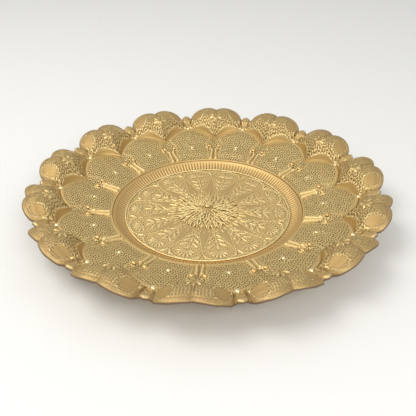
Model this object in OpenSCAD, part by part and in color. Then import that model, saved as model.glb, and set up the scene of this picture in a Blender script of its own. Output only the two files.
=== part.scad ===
// Round brass tray: a petalled repousse border over a fluted well, with an
// applied centre rosette. Millimetres, +Z up, origin at the centre of the flat
// flange that the tray stands on.

/* [Tray] */
// Diameter over the tips of the outer petals
tray_d = 350; // [320:5:400]
// Number of petals in each tier of the border
petals = 14; // [12:2:16]
// Thickness of the sheet brass
sheet_t = 1.2; // [1:0.1:1.4]

/* [Well] */
// Diameter of the flat floor inside the well
floor_d = 164; // [150:2:170]
// Height of the border's inner edge above the floor
well_depth = 7.2; // [6:0.2:9]
// Plan width of the fluted wall between floor and border
wall_run = 11; // [9:0.5:13]
// Diameter of the beaded wire round the floor
bead_wire_d = 1.8; // [1.4:0.1:2.2]

/* [Border] */
// Height of the rim's petals above the floor
rim_rise = 37; // [30:1:44]
// Height that the outer petals stand above the valleys between them
petal_dome = 10.5; // [6:0.5:12]
// Diameter of the wire inside the rolled edge
edge_wire_d = 3; // [2.4:0.2:3.6]

/* [Rosette] */
// Diameter over the rosette's leaves
rosette_d = 66; // [56:2:72]
// Height of the rosette above the floor, without its rivet's head
rosette_h = 6; // [4:0.5:7]
// Diameter of the rivet's shank
rivet_d = 3; // [2.4:0.2:4]

/* [Hidden] */

$fn = 96;
gap = 0.02;                        // running gap between soldered faces
sector = 360 / petals;             // angle of one petal
tip_r = tray_d / 2;
floor_r = floor_d / 2;
floor_z = 2 * sheet_t;             // top of the floor: flange, then disc
edge_r = floor_r + wall_run + 2;   // border's inner edge, lapped over the wall
edge_z = floor_z + well_depth;
lap_r = edge_r + 5;                // the lap seam under the border ends here
flange_r = floor_r - 10;           // inner edge of the flange that it stands on
roll_r = edge_wire_d / 2 + sheet_t;

// Outline of one sector, s from 0 at a bud to 1 at the next bud. Each petal
// ends in two bumps with a dip between, and a small bud fills each gap.
bud_in = 7.4;                      // how far the buds lie inside the tips
gap_in = 10.2;                     // and the cusps beside them
dip_in = 3.6;                      // and the dip between the two bumps
bump_at = 0.31;                    // place of the first bump in its sector
function outline(s) = let (m = min(s, 1 - s)) tip_r - lookup(m, [
    [0, bud_in], [0.04, bud_in + 1], [0.065, gap_in], [0.17, 2.8],
    [bump_at, 0], [0.42, 1], [0.5, dip_in]]);

// Heights above the floor, along the valley under the buds and along the
// petals' ridges. t runs from 0 at the border's inner edge to 1 at the rim.
valley_end = rim_rise - petal_dome;
function valley(t) = lookup(t, [
    [0, well_depth], [0.25, well_depth + 1.8], [0.45, well_depth + 6.6],
    [0.66, valley_end - 6.5], [0.85, valley_end - 2], [1, valley_end]]);
function ridge(t) = lookup(t, [
    [0, well_depth], [0.42, well_depth + 8.3], [0.52, rim_rise - 15],
    [0.66, rim_rise - 5], [0.8, rim_rise - 1.4], [0.92, rim_rise], [1, rim_rise]]);

// The riser between the tiers is an arch over each inner petal.
function riser(s) = let (m = min(s, 1 - s))
    0.42 + 0.2 * sqrt(max(0, 1 - 3.9 * m * m));
riser_w = 0.08;
function smooth(a, b, x) = let (k = min(1, max(0, (x - a) / (b - a))))
    k * k * (3 - 2 * k);
function inner_petal(t, s) = let (m = min(s, 1 - s))
    valley(t) + 2.2 * (1 - pow(2 * m, 2)) * smooth(0.05, 0.25, t)
    * (1 - smooth(0.5, 0.66, t));
function outer_petal(t, s) = let (w = 1 - pow(abs(2 * s - 1), 3.4))
    valley(t) + (ridge(t) - valley(t)) * pow(max(0, w), 0.8)
    - 0.5 * smooth(0.6, 1, t) * (1 - smooth(0, 0.12, abs(s - 0.5)));
function bud(t, s) = 2.6 * smooth(0.7, 0.92, t) * (1 - smooth(0.02, 0.065, min(s, 1 - s)));
function relief(t, s) = let (k = smooth(riser(s), riser(s) + riser_w, t))
    floor_z + (1 - k) * inner_petal(t, s) + k * outer_petal(t, s) + bud(t, s);

// Stations along the section, which follow the riser, and round one sector
function radial(s) = let (a = riser(s), b = riser(s) + riser_w)
    [0, 0.07, 0.45 * a, 0.8 * a, a, (a + b) / 2, b, b + 0.32 * (1 - b), b + 0.66 * (1 - b)];
round_one = [0, 0.04, 0.065, 0.17, 0.31, 0.42, 0.5, 0.58, 0.69, 0.83, 0.935, 0.96];
stations = [for (k = [0:petals - 1]) for (s = round_one) [k, s]];
function station_angle(st) = 90 + (st[0] + st[1] - 0.5) * sector;

function roll_centre(s) = [outline(s) - roll_r, relief(1, s) - roll_r];
function on_roll(s, r, a) = roll_centre(s) + r * [cos(a), sin(a)];
function sheet_point(s, t, drop) = let (r = edge_r + t * (outline(s) - roll_r - edge_r))
    [r, relief(t, s) - drop];

// Closed section of the sheet: top, round the wire, and back underneath
roll_end = -135;                   // the rolled edge ends here, round its wire
roll_step = 45;
function border_section(s) = let (stops = radial(s)) concat(
    [for (t = stops) sheet_point(s, t, 0)],
    [for (a = [90:-roll_step:roll_end]) on_roll(s, roll_r, a)],
    [for (a = [roll_end:roll_step:90]) on_roll(s, roll_r - sheet_t, a)],
    [for (i = [len(stops) - 1:-1:0]) sheet_point(s, stops[i], sheet_t)]);

function turned(p, a) = [p[0] * cos(a), p[0] * sin(a), p[1]];

// Sweeps one closed section per station into a ring that closes on itself
module ring_of(sections, angles) {
    n = len(sections);
    m = len(sections[0]);
    points = [for (i = [0:n - 1]) for (p = sections[i]) turned(p, angles[i])];
    faces = [for (i = [0:n - 1]) for (j = [0:m - 1])
        let (i2 = (i + 1) % n, j2 = (j + 1) % m)
        each [[i * m + j, i * m + j2, i2 * m + j],
              [i * m + j2, i2 * m + j2, i2 * m + j]]];
    polyhedron(points, faces);
}

module border_sheet() {
    color("darkgoldenrod")
    ring_of([for (st = stations) border_section(st[1])],
            [for (st = stations) station_angle(st)]);
}

// Wire that stiffens the rolled edge of the border
module edge_wire() {
    wire_r = edge_wire_d / 2 - 3 * gap;
    color("peru")
    ring_of([for (st = stations) [for (a = [0:roll_step:359]) on_roll(st[1], wire_r, a)]],
            [for (st = stations) station_angle(st)]);
}

// Flange, fluted wall and the lap that the border is soldered to
module well_wall() {
    lap_in = edge_z - sheet_t - gap;
    lap_out = relief(0.07, 0.5) - sheet_t - gap - 0.15;
    color("goldenrod")
    rotate_extrude($fn = 180)
    polygon([[flange_r, 0], [floor_r + 1.6, 0],
             [edge_r - 0.6, lap_in - sheet_t], [lap_r, lap_out - sheet_t],
             [lap_r, lap_out], [edge_r + 0.5, lap_in], [edge_r - 1.8, lap_in],
             [floor_r + gap, floor_z - 0.5], [floor_r + gap, sheet_t],
             [flange_r, sheet_t]]);
}

// Star in the floor, one point for each petal
star_out = 0.82;                   // share of the floor's radius at the tips
star_in = 0.42;                    // and between them, under the rosette's leaves
star_h = 0.4;
module star() {
    linear_extrude(star_h)
    polygon([for (k = [0:2 * petals - 1])
        let (a = 90 + k * sector / 2, r = floor_r * (k % 2 == 0 ? star_out : star_in))
        r * [cos(a), sin(a)]]);
}

module floor_disc() {
    color("khaki")
    difference() {
        union() {
            translate([0, 0, sheet_t + gap]) cylinder(h = sheet_t - gap, r = floor_r);
            translate([0, 0, floor_z]) star();
        }
        translate([0, 0, -1]) cylinder(h = rosette_h + floor_z, d = rivet_d);
        translate([0, 0, floor_z]) cylinder(h = 1, d = rosette_d + 4 * gap);
    }
}

module bead_wire() {
    color("lightyellow")
    rotate_extrude($fn = 180)
    translate([floor_r - 0.12, floor_z + bead_wire_d / 2 + gap])
    circle(d = bead_wire_d, $fn = 32);
}

// Cast rosette: a ring of leaves round a stepped boss, hollow at the back
leaf_t = 1.8;
cast_hollow = 0.3;
module rosette_leaves() {
    inner = rosette_d * 0.42;
    linear_extrude(leaf_t)
    difference() {
        polygon([for (k = [0:2 * petals - 1])
            let (a = 90 + (k + 0.5) * sector / 2, r = k % 2 == 0 ? rosette_d / 2 : inner)
            r * [cos(a), sin(a)]]);
        circle(r = rosette_d * 0.2);
    }
}

module rosette_boss() {
    hole = rivet_d / 2;
    rotate_extrude()
    polygon([[hole, cast_hollow], [rosette_d * 0.36, cast_hollow],
             [rosette_d * 0.34, leaf_t + 0.6], [rosette_d * 0.28, leaf_t + 1.6],
             [rosette_d * 0.24, rosette_h - 1.4], [rosette_d * 0.14, rosette_h - 0.4],
             [rosette_d * 0.1, rosette_h], [hole, rosette_h]]);
}

module centre_rosette() {
    color("palegoldenrod")
    translate([0, 0, floor_z + gap]) {
        rosette_leaves();
        rosette_boss();
    }
}

// Rivet through rosette, floor and burr, with its peened end underneath
head_r = 2.6;
head_h = 1.2;
burr_t = 0.5;
peen_t = 0.45;
module rosette_rivet() {
    shank_z = sheet_t - burr_t - peen_t;
    top_z = floor_z + gap + rosette_h;
    color("gold") {
        translate([0, 0, shank_z]) cylinder(h = top_z - shank_z + 0.2, d = rivet_d - 2 * gap);
        translate([0, 0, shank_z]) cylinder(h = peen_t - gap, r = rivet_d * 0.9);
        translate([0, 0, top_z + gap])
        rotate_extrude()
        polygon([[0, 0], [head_r, 0], [head_r * 0.92, head_h * 0.5],
                 [head_r * 0.6, head_h * 0.88], [0, head_h]]);
    }
}

module rivet_burr() {
    color("burlywood")
    translate([0, 0, sheet_t - burr_t])
    difference() {
        cylinder(h = burr_t - gap, r = rivet_d * 1.6);
        translate([0, 0, -1]) cylinder(h = burr_t + 2, d = rivet_d);
    }
}

border_sheet();
edge_wire();
well_wall();
floor_disc();
bead_wire();
centre_rosette();
rosette_rivet();
rivet_burr();
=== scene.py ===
from math import cos, pi, radians, sin, tau
import random

import bmesh
import bpy
import numpy as np
from mathutils import Matrix, Vector


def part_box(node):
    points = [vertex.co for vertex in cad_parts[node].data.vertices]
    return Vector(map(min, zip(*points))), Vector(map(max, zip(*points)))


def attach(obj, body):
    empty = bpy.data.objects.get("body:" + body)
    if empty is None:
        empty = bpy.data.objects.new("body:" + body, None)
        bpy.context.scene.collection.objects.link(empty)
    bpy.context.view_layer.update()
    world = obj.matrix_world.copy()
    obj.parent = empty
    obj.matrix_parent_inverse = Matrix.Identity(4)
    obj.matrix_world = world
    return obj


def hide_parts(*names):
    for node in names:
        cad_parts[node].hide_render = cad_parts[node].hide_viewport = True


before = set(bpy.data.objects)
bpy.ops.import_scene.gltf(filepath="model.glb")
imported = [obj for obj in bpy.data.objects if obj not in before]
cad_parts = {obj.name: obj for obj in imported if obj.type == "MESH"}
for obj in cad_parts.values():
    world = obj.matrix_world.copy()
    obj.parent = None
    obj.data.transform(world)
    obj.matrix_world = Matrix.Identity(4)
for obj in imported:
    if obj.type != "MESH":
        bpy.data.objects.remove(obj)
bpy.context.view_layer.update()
print("frame loaded")

mm = 0.001
tray = {
    "petals": 14,
    "lobeAt": 0.19,       # the two lobes of a petal lie this share of a sector from its middle
    "sheet": 1.2,         # thickness of the sheet brass
    "floorLift": 2.4,     # top of the floor above the table
}
sector = tau / tray["petals"]
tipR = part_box("border_sheet")[1].y / cos(tray["lobeAt"] * sector) / mm


# relief is worked out in millimetres
def smooth(low, high, x):
    t = np.clip((x - low) / (high - low), 0, 1)
    return t * t * (3 - 2 * t)


def ridge(distance, width):
    return np.exp(-(distance / width) ** 2)


def throughPoints(x, points):
    # a smooth curve through the points that doesn't overshoot between them
    px, py = np.array(points, float).T
    slope = np.diff(py) / np.diff(px)
    tangent = np.concatenate(([slope[0]], np.zeros(len(px) - 2), [slope[-1]]))
    product = slope[:-1] * slope[1:]
    both = slope[:-1] + slope[1:]
    tangent[1:-1] = np.where(product > 0, 2 * product / np.where(both == 0, 1, both), 0)
    i = np.clip(np.searchsorted(px, x) - 1, 0, len(px) - 2)
    width = px[i + 1] - px[i]
    t = np.clip((x - px[i]) / width, 0, 1)
    return ((1 + 2 * t) * (1 - t) ** 2 * py[i] + t * (1 - t) ** 2 * width * tangent[i]
            + t * t * (3 - 2 * t) * py[i + 1] - t * t * (1 - t) * width * tangent[i + 1])


def leaf(along, across, base, side, turn, length, width):
    # a pointed leaf that starts at (base, side) and leans by turn degrees
    c = cos(radians(turn))
    d = sin(radians(turn))
    u = ((along - base) * c + (across - side) * d) / length
    v = ((across - side) * c - (along - base) * d) / width
    belly = 0.3 + 2.6 * np.clip(u * (1 - u), 0, 1)
    return smooth(-0.02, 0.2, u) * (1 - smooth(0.75, 1.05, u)) * np.exp(-(v / belly) ** 2)


# the matted ground is a maze of short punched strokes: a sum of waves of nearly one length
matting = {
    "pitch": 2.35,        # distance between strokes
    "spread": 0.28,       # how much the waves' lengths differ, as a share
    "sharp": 0.9,         # smaller is sharper
    "waves": 11,
    "seed": 5,
    "depth": 0.16,        # on the inner petals
    "outerDepth": 0.176,
    "floorDepth": 0.12,
}
waveDice = random.Random(matting["seed"])
mattingWaves = []
for i in range(matting["waves"]):
    heading = pi * (i + waveDice.uniform(0.2, 0.8)) / matting["waves"]
    number = tau / matting["pitch"] * waveDice.uniform(1 - matting["spread"], 1 + matting["spread"])
    mattingWaves.append((number * cos(heading), number * sin(heading), waveDice.uniform(0, tau)))


def mattingAt(x, y):
    total = sum(np.sin(kx * x + ky * y + phase) for kx, ky, phase in mattingWaves)
    return smooth(-matting["sharp"], matting["sharp"], total / np.sqrt(matting["waves"] / 2))


def softened(z, times):
    for i in range(times):
        z = (z + np.roll(z, 1, 1) + np.roll(z, -1, 1)) / 3
        padded = np.pad(z, ((1, 1), (0, 0)), mode="edge")
        z = (padded[:-2] + padded[1:-1] + padded[2:]) / 3
    return z


def finishPiece(name, bm, material):
    mesh = bpy.data.meshes.new(name)
    bm.to_mesh(mesh)
    bm.free()
    for face in mesh.polygons:
        face.use_smooth = True
    piece = bpy.data.objects.new(name, mesh)
    bpy.context.scene.collection.objects.link(piece)
    mesh.materials.append(material)
    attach(piece, "root")
    return piece


def angles(steps):
    return np.arange(steps) * tau / steps


def share(theta):
    # place in its sector: 0 between two petals, 0.5 in the middle of one
    return ((theta - pi / 2) / sector + 0.5) % 1


stripR = 100              # a ring's vertices start this far out, one unit apart, and are placed later


def ringPiece(name, radius, height, facts, material):
    # radius and height are grids of one closed section by the steps round the ring
    rows, steps = radius.shape
    bm = bmesh.new()
    strip = [bm.verts.new((stripR + i, 0, 0)) for i in range(rows)]
    edges = [bm.edges.new((strip[i - 1], strip[i])) for i in range(rows)]
    # one sector is spun and then copied round, which is far quicker than a full spin
    bmesh.ops.spin(bm, geom=strip + edges, cent=(0, 0, 0), axis=(0, 0, 1), angle=sector,
                   steps=steps // tray["petals"])
    bmesh.ops.spin(bm, geom=bm.verts[:] + bm.edges[:] + bm.faces[:], cent=(0, 0, 0),
                   axis=(0, 0, 1), angle=tau - sector, steps=tray["petals"] - 1, use_duplicate=True)
    bmesh.ops.remove_doubles(bm, verts=bm.verts[:], dist=0.01)
    bm.verts.ensure_lookup_table()
    place = np.array([v.co[:2] for v in bm.verts])
    row = np.rint(np.hypot(place[:, 0], place[:, 1]) - stripR).astype(int)
    turn = np.arctan2(place[:, 1], place[:, 0])
    step = np.rint(turn / tau * steps).astype(int) % steps
    theta = step * tau / steps
    r = radius[row, step] * mm
    z = height[row, step] * mm
    for vert, x, y, h in zip(bm.verts, r * np.cos(theta), r * np.sin(theta), z):
        vert.co = (x, y, h)
    bmesh.ops.recalc_face_normals(bm, faces=bm.faces)
    piece = finishPiece(name, bm, material)
    for fact, values in facts.items():
        layer = piece.data.attributes.new(fact, "FLOAT", "POINT")
        layer.data.foreach_set("value", values[row, step].astype(np.float32))
    return piece


def stack(*parts):
    return np.concatenate([np.atleast_2d(p) for p in parts], axis=0)


def heightFacts(z, times, span):
    # this fact is high on raised places and low in hollows; the materials paint raised places pale, as
    # rubbed wear and painted highlight, and hollows brown, as painted shade
    return np.clip(0.5 + (z - softened(z, times)) / span, 0, 1)


class Value:
    # a shader socket that takes part in Python sums
    def __init__(self, shader, socket):
        self.shader = shader
        self.socket = socket

    def maths(self, operation, other, swapped=False):
        pair = (other, self) if swapped else (self, other)
        return self.shader.add("ShaderNodeMath", {"operation": operation}, {0: pair[0], 1: pair[1]})

    def __add__(self, other):
        return self.maths("ADD", other)

    def __radd__(self, other):
        return self.maths("ADD", other, True)

    def __sub__(self, other):
        return self.maths("SUBTRACT", other)

    def __rsub__(self, other):
        return self.maths("SUBTRACT", other, True)

    def __mul__(self, other):
        return self.maths("MULTIPLY", other)

    def __rmul__(self, other):
        return self.maths("MULTIPLY", other, True)


class Shader:
    def __init__(self, name):
        self.material = bpy.data.materials.new(name)
        self.material.use_nodes = True
        self.tree = self.material.node_tree
        self.surface = self.tree.nodes["Principled BSDF"]
        self.place = self.add("ShaderNodeTexCoord", {}, {}, "Object")

    def add(self, kind, settings, inputs, output=0):
        node = self.tree.nodes.new(kind)
        for key, value in settings.items():
            setattr(node, key, value)
        for key, value in inputs.items():
            if isinstance(value, Value):
                self.tree.links.new(value.socket, node.inputs[key])
            else:
                node.inputs[key].default_value = value
        return Value(self, node.outputs[output])

    def fact(self, name):
        return self.add("ShaderNodeAttribute", {"attribute_name": name}, {}, "Fac")

    def noise(self, scale, detail=3, roughness=0.55):
        return self.add("ShaderNodeTexNoise", {}, {"Vector": self.place, "Scale": scale,
                        "Detail": detail, "Roughness": roughness}, "Fac")

    def step(self, value, low, high):
        return self.add("ShaderNodeMapRange", {"interpolation_type": "SMOOTHSTEP"},
                        {"Value": value, "From Min": low, "From Max": high})

    def blend(self, factor, a, b):
        return self.add("ShaderNodeMix", {"data_type": "RGBA"},
                        {"Factor": factor, 6: a if isinstance(a, Value) else (*a, 1),
                         7: b if isinstance(b, Value) else (*b, 1)}, 2)

    def sine(self, value):
        return self.add("ShaderNodeMath", {"operation": "SINE"}, {0: value})

    def maze(self):
        total = 0
        for kx, ky, phase in mattingWaves:
            along = self.add("ShaderNodeVectorMath", {"operation": "DOT_PRODUCT"},
                             {0: self.place, 1: (kx / mm, ky / mm, 0)}, "Value")
            total = total + self.sine(along + phase)
        return self.step(total * (matting["waves"] / 2) ** -0.5, -matting["sharp"], matting["sharp"])

    def finish(self, links, fixed):
        for key, value in links.items():
            self.tree.links.new(value.socket, self.surface.inputs[key])
        for key, value in fixed.items():
            self.surface.inputs[key].default_value = value
        return self.material


innerBrass = {
    "gold": (0.67, 0.49, 0.19),
    "pale": (0.90, 0.75, 0.38),
    "brown": (0.25, 0.17, 0.065),
    "copper": (0.66, 0.46, 0.19),
    # dark brown of the painted shade
    "rim": (0.30, 0.21, 0.12),
    "paleStrokes": 0.4,
    "darkStrokes": 1.0,
    "roughness": 0.42,
    "metallic": 0.78,
    "bump": 0.0005,
}
# the outer petals are of the same sheet as the inner ones; their darker gold, copper and brown are painted
# shade
outerBrassShaded = {
    "gold": (0.55, 0.385, 0.145),
    "pale": (0.94, 0.77, 0.39),
    "brown": (0.20, 0.13, 0.05),
    "copper": (0.52, 0.35, 0.14),
    # dark brown of the painted shade
    "rim": (0.20, 0.135, 0.09),
    "paleStrokes": 0.3,
    "darkStrokes": 0.8,
    "roughness": 0.44,
    "metallic": 0.78,
    "bump": 0.0005,
}


def makeBorderBrass(name, look):
    shader = Shader(name)
    matted = shader.fact("matted")
    wearAndShading = shader.fact("wearAndShading")
    polish = shader.fact("polish")
    paintedShade = shader.fact("paintedShade")
    maze = shader.maze()
    clouds = shader.noise(38, 4)
    grain = shader.noise(900, 2)
    colour = shader.blend(shader.step(clouds, 0.3, 0.72), look["gold"], look["copper"])
    colour = shader.blend(polish * 0.6, colour, look["copper"])
    # painted shade: hollows and the low parts of the matting strokes are blended to brown, in random cloudy
    # patches
    shadedHollows = shader.step(wearAndShading, 0.46, 0.12) * (1 - polish * 0.6) * 0.8
    dark = matted * (1 - maze) * look["darkStrokes"] + shadedHollows
    grime = shader.step(clouds + grain * 0.3, 0.15, 0.6)
    colour = shader.blend(dark * grime, colour, look["brown"])
    # painted highlight: raised places and the tops of the matting strokes are blended to pale; on raised
    # places this is also rubbed wear
    bright = shader.step(wearAndShading, 0.56, 0.9) * 0.8 + matted * maze * look["paleStrokes"]
    colour = shader.blend(bright, colour, look["pale"])
    # painted shade: blended to dark brown where the sheet tilts away, faces down or lies underneath
    colour = shader.blend(paintedShade * 0.95, colour, look["rim"])
    roughness = look["roughness"] + matted * 0.06 + polish * 0.12 + clouds * 0.14 - bright * 0.08
    height = maze * matted + grain * 0.1
    bump = shader.add("ShaderNodeBump", {}, {"Strength": 0.7, "Distance": look["bump"], "Height": height})
    return shader.finish({"Base Color": colour, "Roughness": roughness, "Normal": bump},
                         {"Metallic": look["metallic"]})


floorBrass = {
    "gold": (0.77, 0.56, 0.235),
    "pale": (0.97, 0.81, 0.43),
    "brown": (0.34, 0.23, 0.085),
    "star": (0.575, 0.41, 0.165),
    "roughness": 0.4,
    "metallic": 0.82,
    "bump": 0.0004,
}


def makeFloorBrass():
    look = floorBrass
    shader = Shader("floor brass")
    matted = shader.fact("matted")
    wearAndShading = shader.fact("wearAndShading")
    polish = shader.fact("polish")
    maze = shader.maze()
    clouds = shader.noise(45, 4)
    grain = shader.noise(1100, 2)
    # painted reflection: the smooth rays of the star are coloured a darker brass, standing in for the dark
    # reflection they show
    colour = shader.blend(polish * 0.8, look["gold"], look["star"])
    # painted shade: hollows and the low parts of the matting strokes are blended to brown; painted
    # highlight: raised places, which are also rubbed bright by wear, and the tops of the strokes are
    # blended to pale
    dark = matted * (1 - maze) * 0.5 + shader.step(wearAndShading, 0.48, 0.2) * 0.95
    colour = shader.blend(dark, colour, look["brown"])
    bright = shader.step(wearAndShading, 0.52, 0.78) + matted * maze * 0.2
    colour = shader.blend(bright, colour, look["pale"])
    # random cloudy patches of the same darker tone over the whole floor
    colour = shader.blend(shader.step(clouds, 0.35, 0.75) * 0.35, colour, look["star"])
    roughness = look["roughness"] + matted * 0.08 + clouds * 0.12 - bright * 0.1
    height = maze * matted + grain * 0.12
    bump = shader.add("ShaderNodeBump", {}, {"Strength": 0.6, "Distance": look["bump"], "Height": height})
    return shader.finish({"Base Color": colour, "Roughness": roughness, "Normal": bump},
                         {"Metallic": look["metallic"]})


plainBrass = {
    "gold": (0.74, 0.52, 0.22),
    "orange": (0.68, 0.475, 0.20),
    # used for the wires, paler than their brass so that their reflections read as white glints: a painted
    # highlight
    "pale": (0.86, 0.72, 0.38),
    "cast": (0.85, 0.68, 0.33),
    # the boss under the rosette's leaves is this darker brass so that the gaps between the leaves show
    # painted shade
    "leafGapShade": (0.50, 0.355, 0.15),
    # paler than brass so that the beads' reflections read as white glints: a painted highlight
    "glintPale": (0.94, 0.82, 0.52),
    "brown": (0.34, 0.23, 0.10),
    "metallic": 0.95,
    "bump": 0.0002,
}


def makePlainBrass(name, tint, roughness, wearAndShadingFact):
    look = plainBrass
    shader = Shader(name)
    clouds = shader.noise(60, 4)
    grain = shader.noise(800, 3)
    scratches = shader.noise(260, 5, 0.7)
    colour = shader.blend(shader.step(clouds, 0.4, 0.9) * 0.4, look[tint], look["gold"])
    # painted shade: where the height fact is low, in hollows such as the flute grooves, the colour is
    # blended to brown
    if wearAndShadingFact:
        wearAndShading = shader.fact("wearAndShading")
        colour = shader.blend(shader.step(wearAndShading, 0.5, 0.1) * 0.85, colour, look["brown"])
    else:
        colour = shader.blend(shader.step(scratches, 0.62, 0.75) * 0.6, colour, look["brown"])
    rough = roughness + clouds * 0.12 + scratches * 0.1
    bump = shader.add("ShaderNodeBump", {}, {"Strength": 0.35, "Distance": look["bump"],
                                             "Height": grain + scratches * 0.6})
    return shader.finish({"Base Color": colour, "Roughness": rough, "Normal": bump},
                         {"Metallic": look["metallic"]})


innerMaterial = makeBorderBrass("inner petal brass", innerBrass)
outerMaterial = makeBorderBrass("outer petal brass shaded darker", outerBrassShaded)
floorMaterial = makeFloorBrass()
wallMaterial = makePlainBrass("fluted brass", "orange", 0.44, True)
wireMaterial = makePlainBrass("wire brass, pale for painted glints", "pale", 0.24, False)
beadMaterial = makePlainBrass("polished bead brass, pale for painted glints", "glintPale", 0.22, False)
scrollMaterial = makePlainBrass("chased bead brass", "gold", 0.3, False)
rosetteMaterial = makePlainBrass("cast brass", "cast", 0.38, False)
bossMaterial = makePlainBrass("dull cast brass, darkened as shade between leaves", "leafGapShade", 0.5, False)
print("materials made")


border = {
    "inner": 94.6,        # radius of the inner edge
    "vBottom": 131.5,     # radius where an outer petal's lower point ends
    "arch": 16,           # how much higher the riser passes over an inner petal's middle
    "lipOut": 2.6,        # the rolled edge stands out from the crest by this much
    "lipDown": 2.0,
    "budShare": 0.07,     # half width of the bud between two petals, as a share of the sector
    "budHigh": 2.3,
    "band": 2.7,          # widest part of the smooth riser under an outer petal
    "bandEnd": 0.4,       # the riser ends this share of a sector from the petal's middle
    # height along the valley under the buds, by radius
    "valley": [(94.6, 6.9), (106, 8.1), (116, 10.2), (131.5, 15.2),
               (147, 20.6), (158, 25.2), (165, 27.6), (172, 29.2)],
    # how far an outer petal stands above that, from its riser to its crest
    "dome": [(0, 0), (0.08, 3.6), (0.2, 8.4), (0.3, 11.4), (0.42, 13.1),
             (0.6, 12.3), (0.75, 11.0), (0.88, 9.7), (1, 7.6)],
    # how far the edge lies inside the tips, from a petal's middle to the bud
    "outline": [(0, 3.4), (0.045, 1.8), (0.14, 0.3), (0.2, 0), (0.3, 1.4),
                (0.38, 4.6), (0.43, 9.4), (0.455, 8.2), (0.5, 6.8)],
    "thumb": {"at": 0.305, "radius": 161.5, "high": 9.0, "wide": 6.5, "tilt": 0.3},
    "knobAt": 146.8,      # radius of the knob at the root of a petal's flower
    "flower": ((0, 9.5), (-38, 9.5), (38, 9.5), (-78, 8), (78, 8)),  # turn and length of its leaves
    "ribs": 28,           # fine ribs inside the crest, by sector
    # section of the rolled edge, in degrees round it, and the rows underneath, as shares
    "lipRoll": [72, 54, 38, 22, 8, -10, -30],
    "underRows": [0.97, 0.85, 0.7, 0.5, 0.3, 0.12, 0.05, 0],
    "wireTube": 1.1,
    "steps": 14 * 84,
    "innerRows": 62,
    "outerRows": 58,
}
innerPetal = {
    "dome": 2.7,
    "edgeLine": 0.6,      # height of the raised line round it
    "stemHigh": 2.5,
    "stemApart": 2.9,     # from the middle of the gap to each of a stem's two ridges
    "stemWide": 1.6,
    "palmette": (-62, -31, 0, 31, 62),  # turns of the leaves over the bead, and of those under it
    "roots": (-150, -120, 120, 150),
}
outerPetal = {
    "knobHigh": 2.3,
    "flowerHigh": 1.5,
    "ribHigh": 0.9,
    "thumbDeep": 0.7,
    "crestLine": 0.5,     # height of the two lines along the crest
    "smoothBand": 40,     # roughly the width from riser to crest
}
beads = {
    "inner": {"radius": 114.3, "size": 1.8, "lift": 0.6},
    "notch": {"radius": 147.5, "size": 2.5, "lift": 1.2},
    "scroll": {"radius": 117.5, "size": 2.5, "lift": 0.9, "share": 0.106},
    "squash": 0.64,       # a bead's height as a share of its width
}


def outlineR(s):
    away = np.abs(s - 0.5)
    return tipR - throughPoints(away, border["outline"])


def archR(s):
    m = np.minimum(s, 1 - s)
    return border["vBottom"] + border["arch"] * (1 - (2 * m) ** 1.7)


def valleyZ(r):
    return throughPoints(r, border["valley"])


def innerRelief(r, s):
    m = np.minimum(s, 1 - s)
    across = np.where(s > 0.5, s - 1, s) * sector * r
    fromStem = (0.5 - m) * sector * r
    toRiser = archR(s) - r
    domeOn = smooth(98, 108, r) * (0.35 + 0.65 * smooth(0, 12, toRiser))
    z = valleyZ(r) + innerPetal["dome"] * (1 - (2 * m) ** 2.4) * domeOn
    z = z + 0.7 * ridge(r - 95.3, 0.7)
    # a raised line follows the petal's outline
    besideStem = 6 + 3 * smooth(104, 122, r) * (1 - smooth(122, 131, r))
    edge = np.minimum(toRiser - 2.2, fromStem - besideStem)
    z = z + innerPetal["edgeLine"] * ridge(edge, 0.8) * smooth(100, 104, r)
    # stem between two petals: a pair of ridges that run out into scrolls
    spread = innerPetal["stemApart"] - 0.07 * (r - 97)
    stemOn = smooth(95.5, 97.5, r) * (1 - smooth(112, 117, r))
    twin = ridge(fromStem - spread, innerPetal["stemWide"])
    z = z + innerPetal["stemHigh"] * twin * stemOn
    z = z + 1.5 * leaf(r, fromStem, 110, 2.2, 20, 11, 1.2)
    z = z + 1.1 * ridge(np.hypot(r - beads["scroll"]["radius"], fromStem - 5.6) - 2.9, 0.7)
    z = z + 0.9 * leaf(r, fromStem, 116, 0, 0, 11, 1.0)
    # leaves round the bead in the petal's middle
    beadAt = beads["inner"]["radius"]
    for turn in innerPetal["palmette"]:
        z = z + 0.75 * leaf(r, across, beadAt + 1.5, 0, turn, 8.6 - abs(turn) * 0.045, 0.8)
    for turn in innerPetal["roots"]:
        z = z + 0.45 * leaf(r, across, beadAt - 0.9, 0, turn, 5, 0.8)
    z = z + 0.5 * ridge(np.hypot(r - beadAt, across) - 2.6, 0.7)
    polish = np.maximum(stemOn * smooth(0.15, 0.4, twin), ridge(edge, 0.9))
    matted = (1 - polish) * smooth(0.8, 2, toRiser) * smooth(96.2, 97.4, r)
    return z, matted, polish


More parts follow.
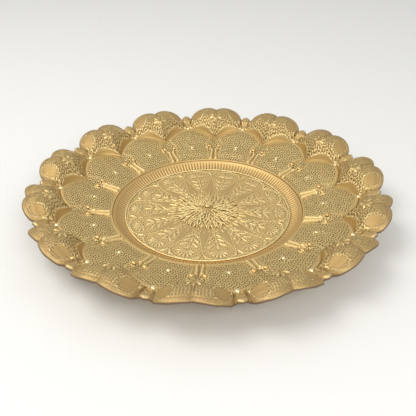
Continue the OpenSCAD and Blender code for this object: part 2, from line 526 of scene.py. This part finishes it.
def outerRelief(r, s):
    away = np.abs(s - 0.5)
    w = (r - archR(s)) / (outlineR(s) - border["lipOut"] - archR(s))
    across = (s - 0.5) * sector * r
    fromBud = (0.5 - away) * sector * r
    c = np.clip(away / (0.5 - border["budShare"]), 0, 1)
    body = (1 - c ** 2.3) ** (0.8 + 0.35 * smooth(0.7, 1, w))
    # a smooth band climbs from the inner petal's arc to the outer petal's own straighter outline
    lens = np.sin(pi * np.clip(away / border["bandEnd"], 0, 1))
    band = 1.0 + border["band"] * lens
    fromArch = r - archR(s)
    climb = (0.6 + 3.0 * lens) * smooth(0, 1, fromArch / band)
    z = valleyZ(r) + climb * (1 - smooth(0.15, 0.7, w)) * (1 - 0.6 * body * smooth(0.1, 0.5, w))
    z = z + throughPoints(w - 0.6 * band / outerPetal["smoothBand"], border["dome"]) * body
    z = z - 0.4 * ridge(away, 0.045) * smooth(0.8, 1, w)
    # bud in the gap
    budHalf = border["budShare"] * sector * r * smooth(146, 162, r)
    budX = fromBud / np.maximum(budHalf, 0.5)
    bud = np.sqrt(np.clip(1 - budX ** 2, 0, 1)) * smooth(152, 160, r)
    z = z + border["budHigh"] * bud
    # lines that follow the petal's lower outline
    inBody = smooth(0.06, 0.16, 0.5 - away)
    z = z + 0.5 * ridge(fromArch - band - 0.6, 0.7) * inBody
    for line in (4.2, 7.6):
        z = z + 0.45 * ridge(fromArch - band - line, 0.6) * (1 - smooth(0.1, 0.2, away))
    # flower
    knob = ridge(np.hypot(r - border["knobAt"], across), 2.3)
    flower = np.zeros(z.shape)
    for turn, length in border["flower"]:
        flower = np.maximum(flower, leaf(r, across, border["knobAt"] + 1.5, 0, turn, length, 1.45))
    z = z + outerPetal["knobHigh"] * knob + outerPetal["flowerHigh"] * flower * (1 - knob)
    # thumb marks
    thumb = border["thumb"]
    tilt = thumb["tilt"]
    thumbU = r - thumb["radius"]
    thumbV = (away - thumb["at"]) * sector * r
    e = np.hypot((thumbU * cos(tilt) - thumbV * sin(tilt)) / thumb["high"],
                 (thumbV * cos(tilt) + thumbU * sin(tilt)) / thumb["wide"])
    z = z - outerPetal["thumbDeep"] * np.clip(1 - e ** 2, 0, 1) + 0.45 * ridge(e - 1.08, 0.12)
    # line along the crest and the fan of fine ribs inside it
    toCrest = outlineR(s) - border["lipOut"] - r
    onPetal = smooth(0.03, 0.06, 0.5 - border["budShare"] - away)
    crestLines = ridge(toCrest - 0.5, 0.45) + ridge(toCrest - 2.9, 0.5)
    z = z + outerPetal["crestLine"] * crestLines * onPetal
    ribs = 0.5 + 0.5 * np.cos(away * tau * border["ribs"])
    ribsOn = (smooth(0.58, 0.7, w) * smooth(3.2, 4.2, toCrest) * smooth(1.12, 1.25, e)
              * (1 - smooth(0.3, 0.36, away)))
    z = z + outerPetal["ribHigh"] * ribs * ribsOn
    # scrolls round the bead at the notch
    for turn, side, length in ((28, 2.0, 12), (62, 2.4, 8)):
        z = z + 1.2 * leaf(r, fromBud, 148, side, turn, length, 1.1) * smooth(146, 148, r)
    z = z + 0.9 * ridge(np.hypot(r - 156.5, fromBud - 4.6) - 2.2, 0.6) * smooth(150, 152, r)
    collar = ridge(np.hypot(r - beads["notch"]["radius"], fromBud) - 3.6, 0.7)
    z = z + 0.8 * collar * smooth(147.0, 148.5, r)
    # smooth parts carry no matting
    onBand = 1 - smooth(-0.8, 0.4, fromArch - band)
    plain = np.maximum(1 - smooth(0.45, 1.15, e), onBand)
    plain = np.maximum(plain, smooth(0.0, 0.5, bud))
    plain = np.maximum(plain, smooth(3.6, 3.0, toCrest) * 0.6)
    polish = 0.8 * plain * (1 - onBand)
    matted = (1 - plain) * (1 - 0.5 * ribsOn) * smooth(0.0, 0.05, 0.5 - border["budShare"] - away)
    onFlower = np.maximum(knob, smooth(0.1, 0.5, flower))
    matted = matted * (1 - 0.3 * smooth(0.35, 0.7, w)) * (1 - 0.8 * onFlower)
    return z, matted, polish, plain


def makeInnerTier():
    theta = angles(border["steps"])
    s = share(theta)
    v = np.linspace(0, 1, border["innerRows"])[:, None]
    topR = border["inner"] + v * (archR(s) - border["inner"])
    topZ, matted, polish = innerRelief(topR, s[None, :])
    maze = mattingAt(topR * np.cos(theta), topR * np.sin(theta))
    topZ = topZ + matting["depth"] * (maze - 0.5) * matted
    wearAndShading = heightFacts(topZ, 5, 1.5)
    underV = np.linspace(1, 0, 9)[:, None]
    underR = border["inner"] + underV * (archR(s) - border["inner"])
    underZ = innerRelief(underR, s[None, :])[0] - tray["sheet"]
    radius = stack(topR, underR)
    height = stack(topZ, underZ) + tray["floorLift"]
    half = np.full(underZ.shape, 0.5)
    none = np.zeros(underZ.shape)
    # the underside rows get some painted shade
    facts = {"matted": stack(matted, none), "wearAndShading": stack(wearAndShading, half),
             "polish": stack(polish, none), "paintedShade": stack(np.zeros(topZ.shape), none + 0.3)}
    piece = ringPiece("innerPetals", radius, height, facts, innerMaterial)
    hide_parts("border_sheet")


def makeOuterTier():
    theta = angles(border["steps"])
    s = share(theta)
    w = np.linspace(0, 1, border["outerRows"])[:, None] ** 1.05
    crestR = outlineR(s) - border["lipOut"]
    footR = archR(s)
    topR = footR + w * (crestR - footR)
    topZ, matted, polish, plain = outerRelief(topR, s[None, :])
    maze = mattingAt(topR * np.cos(theta), topR * np.sin(theta))
    topZ = topZ + matting["outerDepth"] * (maze - 0.5) * matted
    crestZ = topZ[-1]
    roll = np.radians(border["lipRoll"])[:, None]
    lipR = crestR + border["lipOut"] * np.cos(roll)
    lipZ = crestZ - border["lipDown"] * (1 - np.sin(roll))
    hemR = lipR[-1] - 1.4
    hemZ = lipZ[-1] + 0.3
    underW = np.array(border["underRows"])[:, None]
    underR = footR + underW * (crestR - footR)
    underZ = outerRelief(underR, s[None, :])[0] - tray["sheet"]
    radius = stack(topR, lipR, hemR, underR)
    height = stack(topZ, lipZ, hemZ, underZ) + tray["floorLift"]
    upper = stack(topZ, lipZ)
    wearAndShading = heightFacts(upper, 5, 1.6)
    # smooth parts are kept out of the painted shade of hollows
    wearAndShading[:len(topZ)] = np.maximum(wearAndShading[:len(topZ)], 0.52 * plain)
    rest = np.zeros((radius.shape[0] - upper.shape[0], len(theta)))
    # painted shade: a little on the outer half of each outer petal, which tilts away; much on the lower
    # side of the rolled edge, which faces down; half on the hem and underneath
    paintedShadeFact = stack(0.22 * smooth(0.5, 1, w) + np.zeros(topZ.shape),
                    0.2 + 0.8 * smooth(45, 20, np.degrees(roll)) + np.zeros(lipZ.shape))
    facts = {"matted": stack(matted, np.zeros(lipZ.shape), rest),
             "wearAndShading": stack(wearAndShading, rest + 0.5),
             "polish": stack(polish, np.full(lipZ.shape, 0.3), rest),
             "paintedShade": stack(paintedShadeFact, rest + 0.5)}
    piece = ringPiece("outerPetals", radius, height, facts, outerMaterial)
    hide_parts("border_sheet")
    # wire in the rolled edge
    turn = np.radians(np.arange(0, 360, 45))[:, None]
    wireR = lipR[-2] - 1.6 + border["wireTube"] * np.cos(turn)
    wireZ = lipZ[-2] + 0.2 + border["wireTube"] * np.sin(turn) + tray["floorLift"]
    wire = ringPiece("rimWire", wireR, wireZ, {}, wireMaterial)
    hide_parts("edge_wire")


makeInnerTier()
makeOuterTier()
print("border made")


def addBead(bm, spot, k, s, relief):
    # relief gives the sheet's height at the bead's place in sector k
    radius = spot["radius"]
    size = spot["size"]
    z = relief(np.array([radius]), np.array([s]))[0][0] + tray["floorLift"] + spot["lift"]
    theta = pi / 2 + (k + s - 0.5) * sector
    place = Matrix.Translation(Vector((radius * cos(theta), radius * sin(theta), z)) * mm)
    form = Matrix.Diagonal((size * mm, size * mm, size * beads["squash"] * mm, 1))
    bmesh.ops.create_icosphere(bm, subdivisions=2, radius=1, matrix=place @ form)


def makeBeads():
    bm = bmesh.new()
    balls = bmesh.new()
    for k in range(tray["petals"]):
        addBead(bm, beads["inner"], k, 0, innerRelief)
        addBead(bm, beads["notch"], k, 0, outerRelief)
        for side in (-1, 1):
            addBead(balls, beads["scroll"], k, 0.5 + side * beads["scroll"]["share"], innerRelief)
    finishPiece("borderBeads", bm, beadMaterial)
    finishPiece("scrollBalls", balls, scrollMaterial)


makeBeads()
print("beads made")


wall = {
    "flutes": 168,
    "foot": 82.02,        # radius at the floor and at the border
    "top": 93.9,
    "rise": 6.6,
    "depth": 0.75,        # of the flutes
    "steps": 168 * 8,
    # radius and height of the lap under the border, and of the way back underneath
    "lap": [(94.3, 5.6), (99.0, 5.9)],
    "under": [(99.0, 4.8), (94.6, 4.5), (83.8, -1.7), (83.6, -2.4), (72.0, -2.4), (72.0, -1.2)],
}


def makeWall():
    theta = angles(wall["steps"])
    flat = np.zeros(len(theta))
    phase = theta * wall["flutes"]
    t = np.linspace(0, 1, 13)[:, None]
    topR = wall["foot"] + 0.4 + t * (wall["top"] - wall["foot"] - 0.4) + flat
    topZ = 0.2 + wall["rise"] * (0.5 * t + 0.5 * t * t) + flat
    groove = (0.5 - 0.5 * np.cos(phase)) ** 0.6
    inBand = smooth(0.08, 0.2, t) * (1 - smooth(0.78, 0.92, t + 0.06 * (1 - groove)))
    topZ = topZ - wall["depth"] * (1 - groove) * inBand
    backR, backZ = np.array(wall["lap"] + wall["under"] + [(wall["foot"], -1.2)]).T
    radius = stack(topR, backR[:, None] + flat)
    height = stack(topZ, backZ[:, None] + flat) + tray["floorLift"]
    # the flute grooves are low here, so they take the painted shade; the lap and the rows underneath take a
    # little of it
    wearAndShading = stack(0.5 + (groove - 0.6) * 1.3 * inBand, np.full((len(backR), len(theta)), 0.4))
    facts = {"wearAndShading": np.clip(wearAndShading, 0, 1)}
    piece = ringPiece("flutedWall", radius, height, facts, wallMaterial)
    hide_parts("well_wall")


beadWire = {
    "radius": 82.1,
    "tube": 0.95,
    "beads": 14 * 26,
}


def makeBeadWire():
    theta = angles(beadWire["beads"] * 4)
    tube = beadWire["tube"] * (0.82 + 0.18 * np.cos(theta * beadWire["beads"]))
    turn = np.radians(np.arange(0, 360, 45))[:, None]
    radius = beadWire["radius"] + tube * np.cos(turn)
    height = 0.95 + tube * np.sin(turn) + tray["floorLift"]
    piece = ringPiece("floorBeadWire", radius, height, {}, wireMaterial)
    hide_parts("bead_wire")


makeWall()
makeBeadWire()
print("wall made")


floorPlate = {
    "starIn": 30,         # radii of a ray's foot and its point
    "starOut": 68.5,
    "starHalf": 6.6,      # half width of a ray at its foot
    "steps": 14 * 60,
    "rows": 92,
    "edge": 81.6,
    "arcade": 69,         # radius where the arcade's arches spring
    "archRise": 11.4,
    # leaves between the rays: radius, distance to the side, turn and length
    "sprigs": ((36, 0, 0, 9), (42, 0.8, 38, 8), (48.5, 1, 45, 10), (55.5, 1.2, 50, 11),
               (46, 0, 0, 9), (55, 0, 0, 10)),
    # leaves of the palmettes under the arcade: turn and length
    "palmette": ((0, 11.5), (-24, 11), (24, 11), (-48, 10.5), (48, 10.5), (-72, 10), (72, 10)),
}


def floorRelief(r, s):
    m = np.minimum(s, 1 - s)
    rayX = (s - 0.5) * sector * r
    gapX = np.where(s > 0.5, s - 1, s) * sector * r
    length = floorPlate["starOut"] - floorPlate["starIn"]
    taper = np.clip((floorPlate["starOut"] - r) / length, 0, 1)
    half = floorPlate["starHalf"] * taper
    edge = np.abs(rayX) - half
    inStar = (1 - smooth(-0.5, 0.2, edge)) * (taper > 0)
    z = np.zeros(np.broadcast(r, s).shape)
    z = z + 0.45 * inStar * np.clip(1 - np.abs(rayX) / np.maximum(half, 0.6), 0, 1)
    rayOn = smooth(floorPlate["starOut"] + 3, floorPlate["starOut"] - 2, r)
    z = z + 0.5 * ridge(edge - 0.35, 0.6) * rayOn
    # small leaves at the foot of each ray
    for side, length in ((0, 9.5), (-3.4, 6.5), (3.4, 6.5)):
        z = z + 0.8 * leaf(r, rayX, 31.5, side, side * 3.0, length, 0.85)
    # foliage between the rays
    ground = 1 - inStar
    foliage = np.zeros(z.shape)
    for base, side, turn, size in floorPlate["sprigs"]:
        for hand in ((1,) if turn == 0 else (-1, 1)):
            foliage = np.maximum(foliage, leaf(r, gapX, base, side * hand, turn * hand, size, 1.15))
    z = z + 0.95 * foliage * ground
    # arcade
    archLine = floorPlate["arcade"] + floorPlate["archRise"] * np.sqrt(np.clip(1 - (2 * m) ** 2, 0, 1))
    fromArch = (r - archLine) * (0.45 + 0.55 * (1 - 2 * m))
    z = z + 0.65 * ridge(fromArch, 0.75) * smooth(67, floorPlate["arcade"], r)
    palmette = np.zeros(z.shape)
    for turn, size in floorPlate["palmette"]:
        palmette = np.maximum(palmette, leaf(r, gapX, 67.5, 0, turn, size, 1.05))
    z = z + 1.0 * palmette * ground
    for side in (-1, 1):
        z = z + 0.6 * leaf(r, rayX, 71.5, 0.9 * side, 24 * side, 8.5, 1.0)
    z = z + 0.5 * ridge(r - 80.6, 0.55)
    matted = ground * (1 - smooth(0.25, 0.6, np.maximum(foliage, palmette))) * smooth(33, 36, r)
    return z, matted, inStar


def makeFloor():
    theta = angles(floorPlate["steps"])
    s = share(theta)
    flat = np.zeros(len(theta))
    hidden = np.array([1.6, 12.0, 22.0])[:, None] + flat
    topR = np.linspace(24, floorPlate["edge"], floorPlate["rows"])[:, None] + flat
    topZ, matted, polish = floorRelief(topR, s[None, :])
    maze = mattingAt(topR * np.cos(theta), topR * np.sin(theta))
    topZ = topZ + matting["floorDepth"] * (maze - 0.5) * matted
    wearAndShading = heightFacts(topZ, 4, 1.1)
    underR = np.array([floorPlate["edge"], 40, 1.6])[:, None] + flat
    underZ = np.full((3, len(theta)), -1.16)
    radius = stack(hidden, topR, underR)
    height = stack(hidden * 0, topZ, underZ) + tray["floorLift"]
    blank = np.zeros((3, len(theta)))
    facts = {"matted": stack(blank, matted, blank), "wearAndShading": stack(blank + 0.5, wearAndShading, blank + 0.5),
             "polish": stack(blank, polish, blank)}
    piece = ringPiece("floorPlate", radius, height, facts, floorMaterial)
    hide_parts("floor_disc")


makeFloor()
print("floor made")


rosette = {
    "tiers": 7,
    "outer": 24.5,        # where the leaves of the lowest tier start
    "spacing": 3.4,
    "length": 7.6,
    "width": 2.5,
    "lift": 0.5,
    "seed": 11,
    # section of the boss under the leaves: radius and height
    "boss": [(1.52, 5.3), (3.4, 5.3), (4.6, 4.6), (8, 3.4), (12, 2.7), (18, 1.7),
             (24, 0.9), (29, 0.4), (29, 0.05), (1.52, 0.05)],
}


def addLeaf(bm, base, lift, theta, dice):
    # a grid narrowed to a point, with a raised midrib, arched up along its length and down again at its tip
    grid = bmesh.ops.create_grid(bm, x_segments=5, y_segments=4, size=0.5)
    length = rosette["length"] * dice.uniform(0.85, 1.15)
    sway = dice.uniform(-2, 2)
    height = dice.uniform(0.6, 1.7)
    for vert in grid["verts"]:
        u = vert.co.x + 0.5
        v = vert.co.y * 2
        half = rosette["width"] * (0.3 + 1.7 * u * (1 - u)) * (1 - u ** 6) ** 0.5 * 0.62
        vert.co.x = base + u * length
        vert.co.y = v * half + sway * u * u
        droop = 0.5 * abs(v) ** 1.5 * (1 - 0.5 * u)
        vert.co.z = lift + height * sin(pi * min(1, u * 1.05)) ** 0.8 - droop
    turn = Matrix.Rotation(theta, 4, "Z")
    place = Matrix.Translation((0, 0, (tray["floorLift"] + 0.5) * mm)) @ turn @ Matrix.Scale(mm, 4)
    bmesh.ops.transform(bm, matrix=place, verts=grid["verts"])


def makeRosette():
    dice = random.Random(rosette["seed"])
    bm = bmesh.new()
    for tier in range(rosette["tiers"]):
        base = rosette["outer"] - tier * rosette["spacing"]
        count = round(tau * (base + 3) / rosette["width"])
        for k in range(count):
            theta = (k + dice.uniform(-0.35, 0.35) + 0.5 * (tier % 2)) * tau / count
            addLeaf(bm, base, tier * rosette["lift"], theta, dice)
    bmesh.ops.solidify(bm, geom=bm.faces[:], thickness=0.5 * mm)
    bmesh.ops.recalc_face_normals(bm, faces=bm.faces)
    piece = finishPiece("rosetteLeaves", bm, rosetteMaterial)
    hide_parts("centre_rosette")
    theta = angles(168)
    flat = np.zeros(len(theta))
    bossR, bossZ = np.array(rosette["boss"]).T[:, :, None] + flat
    bossZ = bossZ + tray["floorLift"]
    boss = ringPiece("rosetteBoss", bossR, bossZ, {}, bossMaterial)
    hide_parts("centre_rosette")


makeRosette()
print("rosette made")

for node, material in (("rosette_rivet", rosetteMaterial), ("rivet_burr", wireMaterial)):
    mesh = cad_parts[node].data
    mesh.materials.clear()
    mesh.materials.append(material)


stage = {
    "floorColour": (0.80, 0.80, 0.78),
    "size": 6,
    "sky": (0.97, 0.97, 0.97),
    "skyStrength": 0.66,
    "topSoftbox": {"place": (-0.7, -0.2, 1.3), "size": (1.0, 0.8), "power": 10, "colour": (1, 0.98, 0.94)},
    "frontSoftbox": {"place": (0.5, -1.3, 1.1), "size": (1.0, 0.7), "power": 12, "colour": (1, 0.97, 0.92)},
    "camera": {"elevation": 31.03, "azimuth": 4.0, "distance": 0.5508, "centreHeight": 0.032,
               "pitch": -2.293, "yaw": 0.063, "roll": -0.43, "lens": 48.5},
}


def makeStage():
    bm = bmesh.new()
    bmesh.ops.create_grid(bm, x_segments=1, y_segments=1, size=stage["size"] / 2)
    mesh = bpy.data.meshes.new("table")
    bm.to_mesh(mesh)
    bm.free()
    table = bpy.data.objects.new("table", mesh)
    bpy.context.scene.collection.objects.link(table)
    shader = Shader("pale table")
    shader.finish({}, {"Base Color": (*stage["floorColour"], 1), "Roughness": 0.9})
    mesh.materials.append(shader.material)


def addSoftbox(name):
    # it points at the tray's centre
    box = stage[name]
    lamp = bpy.data.lights.new(name, "AREA")
    lamp.shape = "RECTANGLE"
    lamp.size, lamp.size_y = box["size"]
    lamp.energy = box["power"]
    lamp.color = box["colour"]
    light = bpy.data.objects.new(name, lamp)
    light.location = box["place"]
    light.rotation_euler = (-Vector(box["place"])).to_track_quat("-Z", "Y").to_euler()
    bpy.context.scene.collection.objects.link(light)


def makeLights():
    world = bpy.data.worlds.new("studio")
    world.use_nodes = True
    background = world.node_tree.nodes["Background"]
    background.inputs["Color"].default_value = (*stage["sky"], 1)
    background.inputs["Strength"].default_value = stage["skyStrength"]
    bpy.context.scene.world = world
    addSoftbox("topSoftbox")
    addSoftbox("frontSoftbox")


def makeCamera():
    view = stage["camera"]
    elevation = radians(view["elevation"])
    azimuth = radians(view["azimuth"])
    centre = Vector((0, 0, view["centreHeight"]))
    away = Vector((sin(azimuth) * cos(elevation), -cos(azimuth) * cos(elevation), sin(elevation)))
    ahead = -away
    right = Vector((cos(azimuth), sin(azimuth), 0))
    up = right.cross(ahead)
    turns = (Matrix.Rotation(radians(view["roll"]), 3, "Z")
             @ Matrix.Rotation(radians(view["pitch"]), 3, "X")
             @ Matrix.Rotation(-radians(view["yaw"]), 3, "Y"))
    basis = Matrix((right, up, -ahead)).transposed()
    camera = bpy.data.objects.new("camera", bpy.data.cameras.new("camera"))
    camera.data.lens = view["lens"]
    place = centre + away * view["distance"]
    camera.matrix_world = Matrix.Translation(place) @ (basis @ turns).to_4x4()
    bpy.context.scene.collection.objects.link(camera)
    bpy.context.scene.camera = camera


makeStage()
makeLights()
makeCamera()
bpy.context.scene.view_settings.view_transform = "Standard"
print("stage made")
